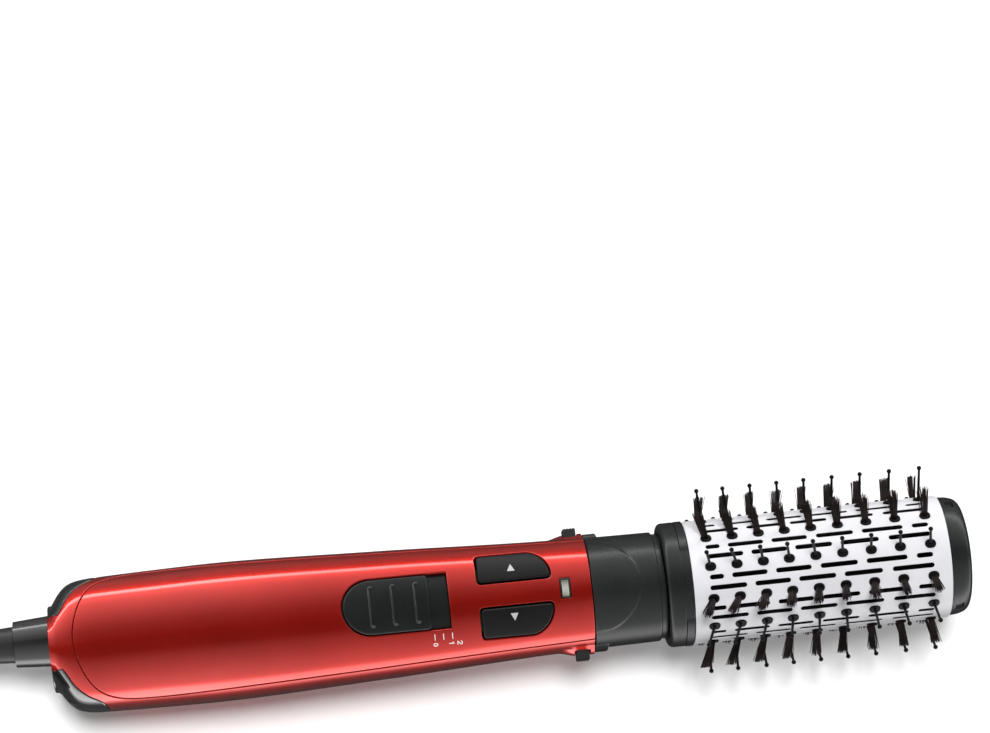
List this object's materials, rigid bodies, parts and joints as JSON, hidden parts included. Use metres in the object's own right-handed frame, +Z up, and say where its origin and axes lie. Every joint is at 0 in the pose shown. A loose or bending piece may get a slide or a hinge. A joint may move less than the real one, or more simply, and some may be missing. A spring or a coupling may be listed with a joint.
{
  "type": "rotating hot air hair brush",
  "caption": "Mains hot air hair brush: a spinning ventilated barrel of pins and bristle tufts on a hand grip with a slide switch, two rotation buttons and side release buttons.",
  "frame": {"origin": "on the floor, under the middle of the body's box without its cord and plug, as the brush lies", "axes": "+X points from the handle towards the tip of the brush; the body's own axis rises 2.44 degrees above it; +Z is up and the button side faces up"},
  "size_m": [0.4818, 0.104, 0.0686],
  "materials": {
    "red_paint": "metallic red lacquer over moulded plastic, high gloss",
    "black_gloss": "moulded black plastic, semi gloss",
    "black_matte": "fine textured black plastic",
    "dark_grey": "dark grey plastic, satin",
    "cord_pvc": "soft black PVC",
    "barrel_white": "white ceramic coating on an aluminium tube",
    "pin_nylon": "black nylon",
    "bristle": "black bristle tufts",
    "lens": "grey green light window",
    "led": "clear LED",
    "steel": "steel",
    "nickel": "nickel plated brass",
    "copper_wire": "resistance wire",
    "mica": "mica board",
    "board_green": "glass fibre circuit board",
    "foam": "filter foam",
    "natural_nylon": "natural acetal"
  },
  "bodies": {
    "handle": {"main_housing": "red_paint", "front_cover": "red_paint", "rear_inlet_cap": "black_gloss", "inlet_filter": "foam", "cord_sleeve": "dark_grey", "switch_plate": "black_matte", "slide_switch_body": "black_matte", "button_switches": "black_matte", "indicator_lens": "lens", "indicator_frame": "black_gloss", "indicator_led": "led", "circuit_board": "board_green", "ion_generator": "black_matte", "fan_duct": "black_matte", "fan_motor": "steel", "drive_motor": "steel", "gearhead": "steel", "bearing_plate": "black_matte", "motor_cradle": "black_matte", "housing_screws": "steel", "heater_frame": "mica", "heater_coil": "copper_wire", "heater_tube": "mica", "thermostat": "steel", "outlet_grille": "black_matte", "cord_lead": "cord_pvc", "cord_coil": "cord_pvc", "cord_tail": "cord_pvc", "coil_tie": "black_matte", "plug_body": "cord_pvc", "plug_pins": "nickel"},
    "cord_swivel": {"strain_relief": "cord_pvc"},
    "fan": {"fan_shaft": "steel", "fan_impeller": "natural_nylon"},
    "pinion": {"motor_pinion": "natural_nylon"},
    "drive": {"drive_shaft": "steel", "drive_gear": "natural_nylon"},
    "switch": {"switch_knob": "black_matte"},
    "button_up": {"rotate_button_up": "black_matte"},
    "button_down": {"rotate_button_down": "black_matte"},
    "release_upper": {"release_button_upper": "black_matte"},
    "release_lower": {"release_button_lower": "black_matte"},
    "head": {"head_collar": "black_matte", "spindle_bush": "natural_nylon"},
    "brush": {"brush_ring": "black_matte", "spindle": "black_matte", "retaining_clip": "steel", "barrel": "barrel_white", "pin_strips": "pin_nylon", "ball_pins": "pin_nylon", "tuft_strips": "pin_nylon", "bristle_tufts": "bristle", "end_cap": "black_matte", "cap_screw": "steel"}
  },
  "joints": [
    {"name": "cord_swivel", "type": "hinge", "parent": "handle", "child": "cord_swivel", "pos_m": [-0.15709, 0.0023, 0.02759], "axis": [0.9991, 0, 0.0426], "continuous": true},
    {"name": "fan_spin", "type": "hinge", "parent": "handle", "child": "fan", "pos_m": [-0.11089, 0, 0.02406], "axis": [0.9991, 0, 0.0426], "continuous": true},
    {"name": "head_release", "type": "slide", "parent": "handle", "child": "head", "axis": [0.9991, 0, 0.0426], "range_m": [0, 0.03]},
    {"name": "brush_spin", "type": "hinge", "parent": "head", "child": "brush", "pos_m": [0.07094, 0, 0.0318], "axis": [0.9991, 0, 0.0426], "continuous": true},
    {"name": "drive_spin", "type": "hinge", "parent": "handle", "child": "drive", "pos_m": [0.003, 0, 0.02891], "axis": [0.9991, 0, 0.0426], "continuous": true},
    {"name": "pinion_spin", "type": "hinge", "parent": "handle", "child": "pinion", "pos_m": [-0.0324, 0, 0.01419], "axis": [0.9991, 0, 0.0426], "continuous": true},
    {"name": "switch_slide", "type": "slide", "parent": "handle", "child": "switch", "axis": [0.9991, 0, 0.0426], "range_m": [0, 0.0061]},
    {"name": "button_up_press", "type": "slide", "parent": "handle", "child": "button_up", "axis": [0.0426, 0, -0.9991], "range_m": [0, 0.0009], "stiffness_N_per_m": 400},
    {"name": "button_down_press", "type": "slide", "parent": "handle", "child": "button_down", "axis": [0.0426, 0, -0.9991], "range_m": [0, 0.0009], "stiffness_N_per_m": 400},
    {"name": "release_upper_press", "type": "slide", "parent": "handle", "child": "release_upper", "axis": [0, -1, 0], "range_m": [0, 0.0018], "stiffness_N_per_m": 600},
    {"name": "release_lower_press", "type": "slide", "parent": "handle", "child": "release_lower", "axis": [0, 1, 0], "range_m": [0, 0.0018], "stiffness_N_per_m": 600}
  ],
  "couplings": [
    {"joint": "drive_spin", "follows": "brush_spin", "ratio": 1},
    {"joint": "pinion_spin", "follows": "brush_spin", "ratio": -2.6667}
  ]
}
